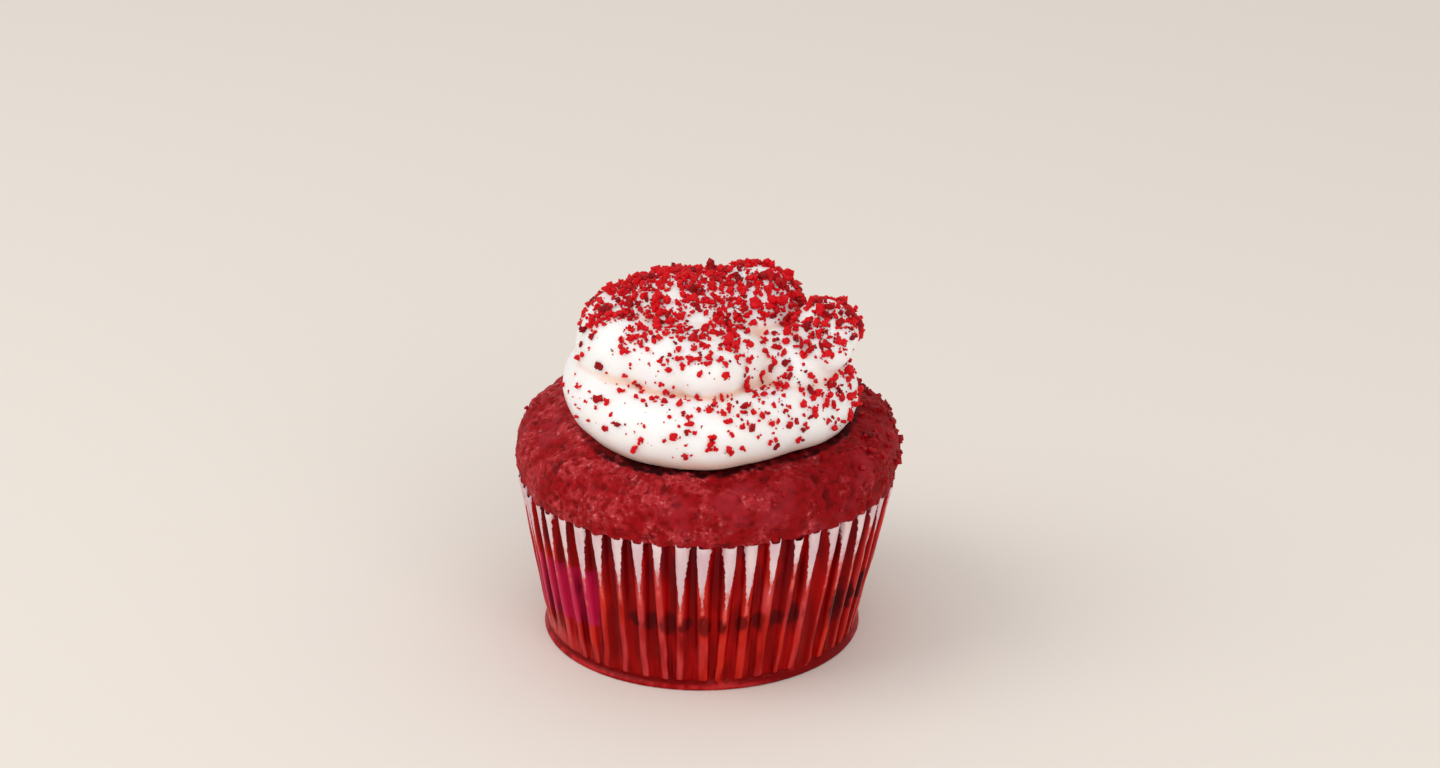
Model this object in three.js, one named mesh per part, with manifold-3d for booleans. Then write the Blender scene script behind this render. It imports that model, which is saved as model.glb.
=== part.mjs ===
// A red velvet cupcake: a pleated paper case, a crumbly cake with a muffin top,
// and a soft white swirl of frosting scattered with red cake crumbs.
// Millimetres, +Z up, front towards -Y. The origin is on the table under the middle.

import * as THREE from "three";
import { ImprovedNoise } from "three/addons/math/ImprovedNoise.js";
import { mergeVertices } from "three/addons/utils/BufferGeometryUtils.js";
import Module from "manifold-3d";

// Driving sizes of the paper case
const CASE_HEIGHT = 32;
const PLEAT_COUNT = 52;
const PAPER = 0.35;
const BASE_RIDGE_RADIUS = 30.1;
const BASE_VALLEY_RADIUS = 29.1;
const RIM_RIDGE_RADIUS = 35.7;
const RIM_VALLEY_RADIUS = 34.2;
const LIP_RADIUS = 30.7;
const PLEAT_FOOT = 1.9;
const CASE_LEAN = 1.0;

// Driving sizes of the cake
const GAP = 0.3;
const BULGE_RADIUS = 36.4;
const BULGE_HEIGHT = 34.6;
const CROWN_HEIGHT = 45.4;
const CROWN_RADIUS = 21;
const SHOULDER_POWER = 3.1;
const CROWN_TILT = 0.055;
const CAKE_SEGMENTS = 76;
const SHOULDER_ROWS = 13;

// Driving sizes of the frosting
const FROSTING_X = 0.5;
const FROSTING_Y = -1.4;
const CRUMB_COUNT = 100;
const SLIVER = 0.03;

const wasm = await Module();
wasm.setup();

const noise = new ImprovedNoise();

// A seeded random number from 0 to 1, so that every run scatters alike.
function randomFrom(seed) {
  let state = seed;
  return () => {
    state = (state + 0x6d2b79f5) | 0;
    let t = Math.imul(state ^ (state >>> 15), 1 | state);
    t = (t + Math.imul(t ^ (t >>> 7), 61 | t)) ^ t;
    return ((t ^ (t >>> 14)) >>> 0) / 4294967296;
  };
}

function mix(a, b, t) {
  return a + (b - a) * t;
}

function clamp01(t) {
  return Math.min(1, Math.max(0, t));
}

// The case and the cake's body lean a little: the base stands left of the rim.
function leanAt(z) {
  return -CASE_LEAN * (1 - clamp01(z / CASE_HEIGHT));
}

// Moves each vertex of a geometry with a function of its position.
function reshape(geometry, move) {
  const position = geometry.getAttribute("position");
  const point = new THREE.Vector3();
  for (let i = 0; i < position.count; i++) {
    point.fromBufferAttribute(position, i);
    move(point);
    position.setXYZ(i, point.x, point.y, point.z);
  }
  return geometry;
}

// Turns the profile [radius, z] about the Z axis.
function turned(profile, segments) {
  const points = profile.map(([radius, z]) => new THREE.Vector2(radius, z));
  return new THREE.LatheGeometry(points, segments).rotateX(Math.PI / 2);
}

function solidFrom(geometry) {
  const bare = geometry.clone();
  bare.deleteAttribute("normal");
  bare.deleteAttribute("uv");
  const merged = mergeVertices(bare, 1e-3);
  return new wasm.Manifold(
    new wasm.Mesh({
      numProp: 3,
      vertProperties: merged.getAttribute("position").array,
      triVerts: new Uint32Array(merged.index.array),
    }),
  );
}

function geometryFrom(solid) {
  const { vertProperties, triVerts } = solid.getMesh();
  const geometry = new THREE.BufferGeometry();
  geometry.setAttribute("position", new THREE.BufferAttribute(vertProperties, 3));
  geometry.setIndex(new THREE.BufferAttribute(triVerts, 1));
  return geometry;
}

// Paper case: one closed skin from the floor over the lip, up the pleats and back down inside.
// Each row is [valley radius, ridge radius, z]. The flat crests widen from the foot to the rim.
const CASE_ROWS = [
  [0, 0, 0],
  [LIP_RADIUS - 0.5, LIP_RADIUS - 0.5, 0],
  [LIP_RADIUS, LIP_RADIUS, 0.35],
  [LIP_RADIUS - 0.5, LIP_RADIUS - 0.4, 0.85],
  [BASE_VALLEY_RADIUS, BASE_RIDGE_RADIUS, PLEAT_FOOT],
  [RIM_VALLEY_RADIUS, RIM_RIDGE_RADIUS, CASE_HEIGHT],
  [RIM_VALLEY_RADIUS - PAPER, RIM_RIDGE_RADIUS - PAPER, CASE_HEIGHT],
  [BASE_VALLEY_RADIUS - PAPER, BASE_RIDGE_RADIUS - PAPER, PLEAT_FOOT],
  [BASE_VALLEY_RADIUS - 0.8, BASE_VALLEY_RADIUS - 0.6, PAPER],
  [0, 0, PAPER],
];

// The four corners of a pleat, as shares of its width either side of the crest's middle.
function pleatCorners(rise) {
  const crest = mix(0.17, 0.27, rise);
  const slope = mix(0.31, 0.38, rise);
  return [-slope, -crest, crest, slope];
}

function paperCase() {
  const random = randomFrom(11);
  const pleats = Array.from({ length: PLEAT_COUNT }, () => ({
    shift: (random() - 0.5) * 0.16,
    stand: random() * 0.35,
    tip: (random() - 0.75) * 0.4,
  }));
  const around = PLEAT_COUNT * 4;
  const indices = [];
  const positions = [];
  CASE_ROWS.forEach(([valley, ridge, z]) => {
    const rise = z / CASE_HEIGHT;
    pleats.forEach((pleat, i) => {
      pleatCorners(rise).forEach((share, corner) => {
        const onCrest = corner === 1 || corner === 2;
        const radius = onCrest && ridge > valley ? ridge + pleat.stand * rise : valley;
        const tip = onCrest && z === CASE_HEIGHT ? pleat.tip : 0;
        const angle = ((i + share + pleat.shift * rise) / PLEAT_COUNT) * 2 * Math.PI;
        positions.push(radius * Math.cos(angle) + leanAt(z), radius * Math.sin(angle), z + tip);
      });
    });
  });
  for (let row = 0; row + 1 < CASE_ROWS.length; row++) {
    for (let s = 0; s < around; s++) {
      const a = row * around + s;
      const b = row * around + ((s + 1) % around);
      indices.push(a, b, b + around, a, b + around, a + around);
    }
  }
  const geometry = new THREE.BufferGeometry();
  geometry.setAttribute("position", new THREE.Float32BufferAttribute(positions, 3));
  geometry.setIndex(indices);
  return geometryFrom(solidFrom(geometry));
}

// Cake: a tapered body inside the case, and a muffin top that bulges over the rim.
function cakeProfile() {
  const floor = PAPER + GAP;
  const wall = PAPER + GAP;
  const profile = [
    [0, floor],
    [BASE_VALLEY_RADIUS - wall - 0.6, floor],
    [BASE_VALLEY_RADIUS - wall, floor + 1.4],
    [RIM_VALLEY_RADIUS - wall, CASE_HEIGHT - 0.2],
    [RIM_VALLEY_RADIUS - wall + 0.3, CASE_HEIGHT + 0.55],
    [RIM_RIDGE_RADIUS - 0.1, CASE_HEIGHT + 0.7],
  ];
  for (let row = 0; row <= SHOULDER_ROWS; row++) {
    const turn = (row / SHOULDER_ROWS) * (Math.PI / 2);
    const out = Math.cos(turn) ** (2 / SHOULDER_POWER);
    const up = Math.sin(turn) ** (2 / SHOULDER_POWER);
    profile.push([
      mix(CROWN_RADIUS, BULGE_RADIUS, out),
      mix(BULGE_HEIGHT, CROWN_HEIGHT, up),
    ]);
  }
  profile.push([CROWN_RADIUS * 0.5, CROWN_HEIGHT + 0.3], [0, CROWN_HEIGHT + 0.4]);
  return profile;
}

// How far the crumbly crust stands out at a point, where it isn't under the frosting or in the case.
function crustRelief(point) {
  const radius = Math.hypot(point.x, point.y);
  const open = clamp01((point.z - BULGE_HEIGHT + 1.5) / 2) * clamp01((radius - 23) / 3);
  const lumps = noise.noise(point.x / 9, point.y / 9, point.z / 7) * 1.1;
  const crumbs = noise.noise(point.x / 2.6 + 40, point.y / 2.6, point.z / 2.6) * 0.75;
  return open * (lumps + crumbs);
}

function cake() {
  return reshape(turned(cakeProfile(), CAKE_SEGMENTS), (point) => {
    const radius = Math.hypot(point.x, point.y);
    const rise = clamp01((point.z - BULGE_HEIGHT) / (CROWN_HEIGHT - BULGE_HEIGHT));
    const relief = crustRelief(point);
    if (radius > 0) {
      point.x *= 1 + (relief * (1 - 0.6 * rise)) / radius;
      point.y *= 1 + (relief * (1 - 0.6 * rise)) / radius;
    }
    point.z += relief * 0.7 * rise + rise * CROWN_TILT * point.y;
    point.x += leanAt(point.z);
  });
}

// A rope keeps its full size along its length and rounds off towards both ends.
function sizeAt(along, round) {
  const endward = Math.abs(2 * along - 1);
  if (endward <= round) return 1;
  return Math.sqrt(Math.max(0, 1 - ((endward - round) / (1 - round)) ** 2));
}

// 1 in one direction, falling to 0 about a width to either side. The last two are in degrees.
function towards(angle, direction, width) {
  const turned = THREE.MathUtils.radToDeg(angle) - direction + 180;
  const off = turned - 360 * Math.floor(turned / 360) - 180;
  return Math.exp(-((off / width) ** 2));
}

// A rope of piped frosting with an oval section that stays upright: a closed ring,
// or an open stroke with round ends. It swells, and is pushed outwards and lifted, by direction.
function rope(stroke, sides) {
  const { from, to, steps, ringRadius, height, wide, tall, middle = [0, 0] } = stroke;
  const { swell = () => 0, push = () => 0, lift = () => 0 } = stroke;
  const closed = to - from === 360;
  const positions = [];
  const indices = [];
  const rows = [];
  for (let step = 0; step < (closed ? steps : steps + 1); step++) {
    const along = closed ? step / steps : 0.5 - 0.5 * Math.cos((Math.PI * step) / steps);
    const angle = THREE.MathUtils.degToRad(mix(from, to, along));
    const size = closed ? 1 : sizeAt(along, stroke.round);
    const lump = swell(angle);
    const radius = mix(ringRadius[0], ringRadius[1], along) + push(angle);
    const z = mix(height[0], height[1], along) + lift(angle);
    const row = [];
    const count = size < 1e-3 ? 1 : sides;
    for (let side = 0; side < count; side++) {
      const turn = (side / sides) * 2 * Math.PI;
      const out = radius + (wide + lump) * size * (count === 1 ? 0 : Math.cos(turn));
      const up = z + (tall + lump * 0.5) * size * (count === 1 ? 0 : Math.sin(turn));
      row.push(positions.length / 3);
      positions.push(
        FROSTING_X + middle[0] + out * Math.cos(angle),
        FROSTING_Y + middle[1] + out * Math.sin(angle),
        up,
      );
    }
    rows.push(row);
  }
  for (let step = 0; step < steps; step++) {
    const a = rows[step];
    const b = rows[(step + 1) % rows.length];
    for (let side = 0; side < sides; side++) {
      const next = (side + 1) % sides;
      if (a.length === 1) indices.push(a[0], b[next], b[side]);
      else if (b.length === 1) indices.push(a[side], a[next], b[0]);
      else indices.push(a[side], a[next], b[next], a[side], b[next], b[side]);
    }
  }
  const geometry = new THREE.BufferGeometry();
  geometry.setAttribute("position", new THREE.Float32BufferAttribute(positions, 3));
  geometry.setIndex(indices);
  const solid = solidFrom(geometry);
  return solid.volume() > 0 ? solid : solidFrom(flipped(geometry));
}

function flipped(geometry) {
  const index = geometry.index.array;
  for (let i = 0; i < index.length; i += 3) {
    [index[i + 1], index[i + 2]] = [index[i + 2], index[i + 1]];
  }
  return geometry;
}

// The strokes of the swirl: a closed ring below, a second turn on it, and a tail that ends at the right.
// Angles are in degrees from +X, anticlockwise from above, so that the front is at -90.
const STROKES = [
  {
    from: 90, to: 450, steps: 44, ringRadius: [20.5, 20.5],
    height: [47.8, 47.8], wide: 6.9, tall: 6.7,
    swell: (angle) => 0.15 - 0.3 * Math.sin(2 * angle),
    push: (angle) =>
      0.6 * towards(angle, -138, 30) - 1.8 * towards(angle, -58, 24) + 0.7 * towards(angle, -2, 26),
    lift: (angle) =>
      0.9 * towards(angle, -58, 26) + 2.9 * towards(angle, 176, 50) + 0.8 * towards(angle, 0, 36),
  },
  {
    from: -30, to: -330, steps: 34, round: 0.8, ringRadius: [13.4, 14.4], middle: [-3.2, 2.4],
    height: [57.6, 58.2], wide: 8.1, tall: 7.4,
    swell: (angle) => 0.35 * Math.cos(7 * angle + 0.5),
    push: (angle) => -2.6 * towards(angle, -86, 30) - 1.2 * towards(angle, -121, 10),
  },
  {
    from: 120, to: -34, steps: 24, round: 0.74, ringRadius: [15, 23.2],
    height: [53.5, 60.6], wide: 6.3, tall: 6.1,
    lift: (angle) => 2.8 * towards(angle, -10, 16) - 2.6 * towards(angle, 32, 16),
  },
];

// The mounds that fill the swirl: its middle, a lobe at the front, a saddle beside the tail's end,
// and a neck between the saddle and the middle.
const MOUNDS = [
  { x: -2.8, y: 4.4, z: 59.4, wide: 18.4, deep: 15, tall: 10.4, around: 26, rows: 14 },
  { x: 0.2, y: -12.6, z: 58.4, wide: 7.4, deep: 7.4, tall: 5.8, around: 16, rows: 10 },
  { x: 14.4, y: -5.5, z: 56.2, wide: 9.5, deep: 9, tall: 7.2, around: 14, rows: 8 },
  { x: 12.2, y: 2.0, z: 57.4, wide: 8.5, deep: 8.5, tall: 7, around: 14, rows: 8 },
  { x: 7.9, y: 6.0, z: 60.4, wide: 10.4, deep: 12, tall: 10.4, around: 18, rows: 12 },
];

function mound(shape) {
  const ball = new THREE.SphereGeometry(1, shape.around, shape.rows).rotateX(Math.PI / 2);
  ball.scale(shape.wide, shape.deep, shape.tall);
  ball.translate(FROSTING_X + shape.x, FROSTING_Y + shape.y, shape.z);
  return solidFrom(ball);
}

function core() {
  const plug = turned([[0, 43], [19, 43], [19, 52], [12, 60], [0, 60]], 24);
  return solidFrom(plug.translate(FROSTING_X, FROSTING_Y, 0));
}

// How likely a crumb is to lie at a place: thick on top, thin round the lower ring.
function crumbDensity(point, normal) {
  const high = clamp01((point.z - 47) / 17);
  return clamp01(normal.z * 1.2 + 0.25) * (0.12 + 0.88 * high ** 1.4);
}

// Points spread over a solid's surface, with their outward normals, the same on every run.
function scattered(solid, count, spacing, density, seed) {
  const random = randomFrom(seed);
  const geometry = geometryFrom(solid).toNonIndexed();
  const position = geometry.getAttribute("position");
  const triangle = new THREE.Triangle();
  const faces = [];
  let total = 0;
  for (let i = 0; i < position.count; i += 3) {
    triangle.setFromAttributeAndIndices(position, i, i + 1, i + 2);
    total += triangle.getArea();
    faces.push(total);
  }
  const found = [];
  for (let tries = 0; found.length < count && tries < 60000; tries++) {
    const aim = random() * total;
    let low = 0;
    let high = faces.length - 1;
    while (low < high) {
      const middle = (low + high) >> 1;
      if (faces[middle] < aim) low = middle + 1;
      else high = middle;
    }
    triangle.setFromAttributeAndIndices(position, low * 3, low * 3 + 1, low * 3 + 2);
    const u = Math.sqrt(random());
    const v = random();
    const point = new THREE.Vector3()
      .addScaledVector(triangle.a, 1 - u)
      .addScaledVector(triangle.b, u * (1 - v))
      .addScaledVector(triangle.c, u * v);
    const normal = triangle.getNormal(new THREE.Vector3());
    if (random() > density(point, normal)) continue;
    if (found.every((other) => other.point.distanceTo(point) > spacing)) {
      found.push({ point, normal });
    }
  }
  return found;
}

// One angular chunk of cake crumb, pressed a third of its size into what it lies on.
function crumb({ point, normal }, size, random) {
  const chunk = new THREE.IcosahedronGeometry(1, 0);
  const stretch = [0.8 + random() * 0.5, 0.7 + random() * 0.5, 0.6 + random() * 0.4];
  chunk.rotateZ(random() * 6.28).rotateX(random() * 6.28);
  chunk.scale(...stretch.map((part) => part * size));
  const seat = point.clone().addScaledVector(normal, size * 0.25);
  return solidFrom(chunk.translate(seat.x, seat.y, seat.z));
}

function frosting(cakeSolid) {
  const strokes = STROKES.map((stroke) => rope(stroke, 14));
  const bare = wasm.Manifold.union([core(), ...MOUNDS.map(mound), ...strokes]);
  const smooth = bare.subtract(cakeSolid.translate([0, 0, GAP])).simplify(SLIVER);
  const random = randomFrom(5);
  const places = scattered(smooth, CRUMB_COUNT, 2.6, crumbDensity, 23).filter(
    ({ point }) => point.z > 46.5,
  );
  const crumbs = places.map((place, i) => crumb(place, mix(1.5, 0.8, i / CRUMB_COUNT), random));
  const whole = wasm.Manifold.union([smooth, ...crumbs]).simplify(SLIVER);
  return whole.decompose().sort((a, b) => b.volume() - a.volume())[0];
}

// The pieces, with their colours
function piece(name, geometry, material) {
  const mesh = new THREE.Mesh(geometry, new THREE.MeshStandardMaterial(material));
  mesh.name = name;
  return mesh;
}

const cakeGeometry = cake();
const cakeSolid = solidFrom(cakeGeometry);
const cupcake = new THREE.Group();
cupcake.add(
  piece("paper_case", paperCase(), { color: 0xa8221e, roughness: 0.4, metalness: 0 }),
  piece("cake", cakeGeometry, { color: 0x8e1420, roughness: 0.75, metalness: 0 }),
  piece("frosting", geometryFrom(frosting(cakeSolid)), {
    color: 0xf6efe6,
    roughness: 0.35,
    metalness: 0,
  }),
);

export default cupcake;
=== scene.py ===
# %% [markdown]
# A red velvet cupcake stands in its pleated paper case, under a swirl of white frosting with red
# cake crumbs on it. The imported model already holds the case, the cake and the frosting at their
# true size and place. This lesson dresses them: each piece is modelled again as a fine mesh in
# the same form and size, and gets a procedural finish. We load the model first. The dressed
# cupcake has to stay that size.

# %% Load the imported model
import math
import random

import bmesh
import bpy
from mathutils import Euler, Matrix, Vector, noise


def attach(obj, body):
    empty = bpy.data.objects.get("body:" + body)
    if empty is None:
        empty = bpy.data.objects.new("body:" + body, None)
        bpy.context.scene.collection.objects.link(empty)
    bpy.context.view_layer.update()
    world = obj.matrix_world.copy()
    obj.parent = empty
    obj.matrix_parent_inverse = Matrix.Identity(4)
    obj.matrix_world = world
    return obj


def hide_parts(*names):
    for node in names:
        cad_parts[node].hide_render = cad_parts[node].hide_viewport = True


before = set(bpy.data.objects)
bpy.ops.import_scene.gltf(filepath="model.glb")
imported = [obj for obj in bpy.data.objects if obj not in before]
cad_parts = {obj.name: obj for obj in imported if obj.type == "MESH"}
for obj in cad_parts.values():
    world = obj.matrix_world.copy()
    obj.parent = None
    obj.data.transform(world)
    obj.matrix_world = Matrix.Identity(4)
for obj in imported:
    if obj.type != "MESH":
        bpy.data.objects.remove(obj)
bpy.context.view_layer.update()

# %% [markdown]
# Blender works in metres, but a cupcake is easier to think about in millimetres. Every outline
# below is written in millimetres, and a piece is scaled once, when its mesh is finished.

# %% Units and small helpers
MM = 0.001


def mix(a, b, t):
    return a + (b - a) * t


def clamp01(t):
    return min(1.0, max(0.0, t))


def smooth01(t):
    t = clamp01(t)
    return t * t * (3 - 2 * t)


def finished(bm, name):
    """Scales a bmesh from millimetres to metres and makes it a piece that rides with the model."""
    bmesh.ops.scale(bm, vec=(MM, MM, MM), verts=bm.verts)
    mesh = bpy.data.meshes.new(name)
    bm.to_mesh(mesh)
    bm.free()
    piece = bpy.data.objects.new(name, mesh)
    bpy.context.scene.collection.objects.link(piece)
    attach(piece, "root")
    print(f"{name}: {sum(len(f.vertices) - 2 for f in mesh.polygons)} triangles")
    return piece


# %% [markdown]
# The camera stands where the photographer's did: an 85 mm lens looking 23 degrees down. One pixel
# of the photograph, the middle of the cupcake's base, and the distance to it fix the place.

# %% Camera
PHOTO_SIZE = Vector((1440, 768))
BASE_PIXEL = Vector((707, 617))
CAMERA_DISTANCE = 662 * MM
LENS = 85
SENSOR = 36
LOOK_DOWN = math.radians(23)

camera_data = bpy.data.cameras.new("camera")
camera_data.lens = LENS
camera_data.sensor_width = SENSOR
camera = bpy.data.objects.new("camera", camera_data)
bpy.context.scene.collection.objects.link(camera)
across, down = (BASE_PIXEL - PHOTO_SIZE / 2) / (LENS / SENSOR * PHOTO_SIZE.x)
camera_turn = Matrix.Rotation(math.pi / 2 - LOOK_DOWN, 4, "X")
sight = camera_turn.to_3x3() @ Vector((across, -down, -1)).normalized()
camera.matrix_world = Matrix.Translation(-CAMERA_DISTANCE * sight) @ camera_turn
bpy.context.scene.camera = camera
print("camera at", [round(x, 4) for x in camera.location])

# %% [markdown]
# The cake is a tapered body in the case and a muffin top that bulges over the rim. Its outline is
# a half section from the axis under the floor, up the wall, over the shoulder and back to the axis
# on top. The shoulder is a superellipse: rounder than a square corner, squarer than a circle.
# The points are spaced evenly where the crust shows, so that the crumbs come out alike all over.

# %% Sizes of the cake
CASE_HEIGHT = 32
BASE_VALLEY = 29.1
RIM_VALLEY = 34.2
WALL_GAP = 0.65
BULGE_RADIUS = 36.4
BULGE_HEIGHT = 34.6
CROWN_RADIUS = 21
CROWN_HEIGHT = 45.4
CROWN_TILT = 0.055
SHOULDER_POWER = 3.1
CASE_LEAN = 1.0
CRUST_STEP = 0.36


def lean(z):
    """How far the case and the cake's body stand to the left at a height: the base is askew."""
    return -CASE_LEAN * (1 - clamp01(z / CASE_HEIGHT))


def evenly(points, step):
    """The same line with points about one step apart."""
    lengths = [0]
    for a, b in zip(points, points[1:]):
        lengths.append(lengths[-1] + (b - a).length)
    count = round(lengths[-1] / step)
    found = []
    for i in range(count + 1):
        goal = lengths[-1] * i / count
        k = next(k for k in range(1, len(points)) if lengths[k] >= goal - 1e-9)
        share = (goal - lengths[k - 1]) / (lengths[k] - lengths[k - 1])
        found.append(points[k - 1].lerp(points[k], share))
    return found


def cake_outline():
    hidden_body = [
        Vector((0, 0, WALL_GAP)),
        Vector((BASE_VALLEY - WALL_GAP - 0.6, 0, WALL_GAP)),
        Vector((BASE_VALLEY - WALL_GAP, 0, WALL_GAP + 1.4)),
        Vector((RIM_VALLEY - WALL_GAP, 0, CASE_HEIGHT - 0.2)),
    ]
    crust = [
        Vector((RIM_VALLEY + 0.1, 0, CASE_HEIGHT - 0.25)),
        Vector((RIM_VALLEY + 1.0, 0, CASE_HEIGHT)),
        Vector((RIM_VALLEY + 1.75, 0, CASE_HEIGHT + 0.9)),
    ]
    for i in range(81):
        turn = i / 80 * math.pi / 2
        out = math.cos(turn) ** (2 / SHOULDER_POWER) if i < 80 else 0
        up = math.sin(turn) ** (2 / SHOULDER_POWER)
        crust.append(Vector((mix(CROWN_RADIUS, BULGE_RADIUS, out), 0, mix(BULGE_HEIGHT, CROWN_HEIGHT, up))))
    crown = [Vector((CROWN_RADIUS / 2, 0, CROWN_HEIGHT + 0.3)), Vector((0, 0, CROWN_HEIGHT + 0.4))]
    return hidden_body + evenly(crust, CRUST_STEP) + crown


# %% [markdown]
# Spinning the outline round the axis gives the smooth cake. Real crumb is torn and uneven: lumps
# as wide as a pea, crumbs of one to three millimetres that stand to different heights, small pits
# and a fine grain. A voronoi pattern parts the crumbs, because the difference between its two
# nearest distances falls to nothing between them, and noise at a crumb's centre gives it a height
# of its own. How proud a spot stands is kept on its vertex, and the finish paints shade where it is low.

# %% Relief of the crumb
CAKE_TURNS = 640


def crumb_relief(point):
    """The crust's height at a point, in millimetres, and how proud it stands, from 0 to 1."""
    lumps = noise.noise(point / 8.5)
    bent = point + 1.1 * noise.noise_vector(point / 2.2)
    distances, centres = noise.voronoi(bent / 2.9)
    crumb = smooth01((distances[1] - distances[0]) / 0.7)
    own_height = clamp01(0.5 + noise.noise(centres[0] * 3.3))
    fine = noise.fractal(point / 1.3, 0.8, 2.1, 3)
    pit = clamp01(noise.noise(point / 2.4 + Vector((0, 7, 3))) - 0.3)
    height = 0.9 * lumps + (0.1 + 0.34 * own_height) * crumb + 0.25 * fine - 1.6 * pit
    return height - 0.3, clamp01(0.36 + 0.3 * own_height * crumb + 0.34 * fine - 1.6 * pit)


# %% [markdown]
# Two things around the cake press on it. The rim's pleats leave a scalloped edge where the crust
# settles over them, one scallop to a pleat. The frosting sinks in along its front edge, and a thin
# dark line of painted shadow lies on the crust just below that edge. At the left the crust swells
# up to the frosting instead.

# %% Scallops at the rim and the dent under the frosting
PLEATS = 52
SWIRL_CENTRE = Vector((0.5, -1.4, 0))


def towards(angle, direction, width):
    """1 in one direction, falling to 0 about a width to either side. The last two are in degrees."""
    off = (math.degrees(angle) - direction + 180) % 360 - 180
    return math.exp(-((off / width) ** 2))


def ring_push(angle):
    """How far the frosting's lowest ring runs outside a circle: out at front left, in at front right."""
    return 0.6 * towards(angle, -138, 30) - 1.8 * towards(angle, -58, 24) + 0.7 * towards(angle, -2, 26)


def ring_lift(angle):
    """How far that ring is raised: most at the left, where it climbs to the second turn."""
    return 0.9 * towards(angle, -58, 26) + 2.9 * towards(angle, 176, 50) + 0.8 * towards(angle, 0, 36)


def scallop(point):
    """How far the crust's lowest edge hangs over the rim here: most at the crest of each pleat."""
    wave = 0.5 + 0.5 * math.cos(PLEATS * math.atan2(point.y, point.x))
    return wave * smooth01((CASE_HEIGHT + 1.9 - point.z) / 1.4)


def dent(point):
    """How far the frosting's edge has sunk into the crust here, in millimetres, and how dark its painted shadow is.
    """
    off_centre = point - SWIRL_CENTRE
    angle = math.atan2(off_centre.y, off_centre.x)
    reach = off_centre.xy.length - ring_push(angle)
    deepest = 0.6 + 0.7 * towards(angle, -44, 24) - 0.75 * ring_lift(angle)
    depth = deepest * smooth01((reach - 18) / 3) * smooth01((30.2 - reach) / 3.4)
    # Painted shadow: the crust darkens under and just outside the frosting's edge, less where the ring is lifted.
    edge = 27.9 + 0.5 * towards(angle, -42, 18)
    return depth, smooth01((edge - reach) / 0.8) * clamp01(1.25 - 0.45 * ring_lift(angle))


# %% Spin the cake and raise its crumb


def make_cake():
    bm = bmesh.new()
    outline = [bm.verts.new(point) for point in cake_outline()]
    for a, b in zip(outline, outline[1:]):
        bm.edges.new((a, b))
    bmesh.ops.spin(
        bm, geom=bm.verts[:] + bm.edges[:], cent=(0, 0, 0), axis=(0, 0, 1),
        angle=2 * math.pi, steps=CAKE_TURNS, use_merge=True,
    )
    bmesh.ops.remove_doubles(bm, verts=bm.verts, dist=1e-4)
    bmesh.ops.recalc_face_normals(bm, faces=bm.faces)
    bm.normal_update()
    relief_of = bm.verts.layers.float.new("relief")
    normals = [vert.normal.copy() for vert in bm.verts]
    for vert, normal in zip(bm.verts, normals):
        point = vert.co.copy()
        radius = point.xy.length
        shown = smooth01((point.z - CASE_HEIGHT + 0.1) / 0.9) * smooth01((radius - 20) / 3)
        rise = clamp01((point.z - BULGE_HEIGHT) / (CROWN_HEIGHT - BULGE_HEIGHT))
        sunk, soak_and_shade = dent(point)
        if shown > 0:
            height, proud = crumb_relief(point)
            vert.co += normal * height * shown * (1 - 0.5 * soak_and_shade)
            # Below zero, the relief carries the painted shadow under the frosting's edge.
            vert[relief_of] = proud - 0.9 * soak_and_shade
        if radius > RIM_VALLEY:
            vert.co.z -= 0.5 * scallop(point)
            vert.co.xy += point.xy.normalized() * 0.25 * scallop(point)
        vert.co.z -= sunk * rise
        vert.co.z += rise * CROWN_TILT * point.y
        vert.co.x += lean(point.z)
    cake = finished(bm, "velvet_cake")
    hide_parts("cake")
    cake.data.shade_smooth()
    return cake


cake = make_cake()

# %% [markdown]
# The paper case was pressed from a flat disc, so its wall falls into 52 pleats. Near the base they
# are shallow, towards the rim they open and their crests stand off the cake. The base ends in a
# narrow bent lip. We start from a disc and extrude its edge upwards row by row, moving each new
# row out to its radius, and give the paper its thickness at the end.

# %% Sizes of the paper case
POINTS_PER_PLEAT = 20
BASE_RIDGE = 30.1
RIM_RIDGE = 35.7
LIP_RADIUS = 30.45
PLEAT_FOOT = 1.9
PAPER = 0.14
WALL_ROWS = 26

LIP_ROWS = [
    (LIP_RADIUS - 0.45, 0.0), (LIP_RADIUS - 0.1, 0.15), (LIP_RADIUS, 0.42),
    (LIP_RADIUS - 0.1, 0.7), (LIP_RADIUS - 0.35, 0.98), (LIP_RADIUS - 0.55, 1.3),
]


def groove(angle):
    """How deep the fold above the lip is in a direction: deepest at the front left."""
    wobble = noise.noise(Vector((4 * math.cos(angle), 4 * math.sin(angle), 8)))
    return clamp01(0.45 + 0.5 * towards(angle, -132, 32) + 0.4 * towards(angle, -40, 44) + 0.8 * wobble)


def flatness(angle):
    """How far the pleats are pressed flat above the lip in a direction: fully at the left."""
    return clamp01(1.2 * towards(angle, -160, 22))


class Pleat:
    """How one pleat differs from its neighbours: where it leans, stands and ends."""

    def __init__(self, number):
        draw = random.Random(100 + number)
        self.number = number
        self.shift = draw.uniform(-0.13, 0.13)
        self.stand = draw.uniform(-0.1, 0.4)
        self.tip = draw.uniform(-0.45, 0.05)
        self.width = draw.uniform(0.88, 1.12)
        self.foot_width = draw.uniform(0.75, 1.25)
        self.foot = draw.uniform(0.3, 1.0)
        self.foot_shift = draw.uniform(-0.13, 0.13)


pleats = [Pleat(number) for number in range(PLEATS)]


def flute(share, rise):
    """The pleat's section: 0 in the valley, 1 on the rounded crest."""
    crest = mix(0.15, 0.24, rise)
    slope = mix(0.33, 0.4, rise)
    side = smooth01((slope - abs(share)) / (slope - crest))
    return side * (1 - 0.16 * clamp01(abs(share) / crest) ** 2)


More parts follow.
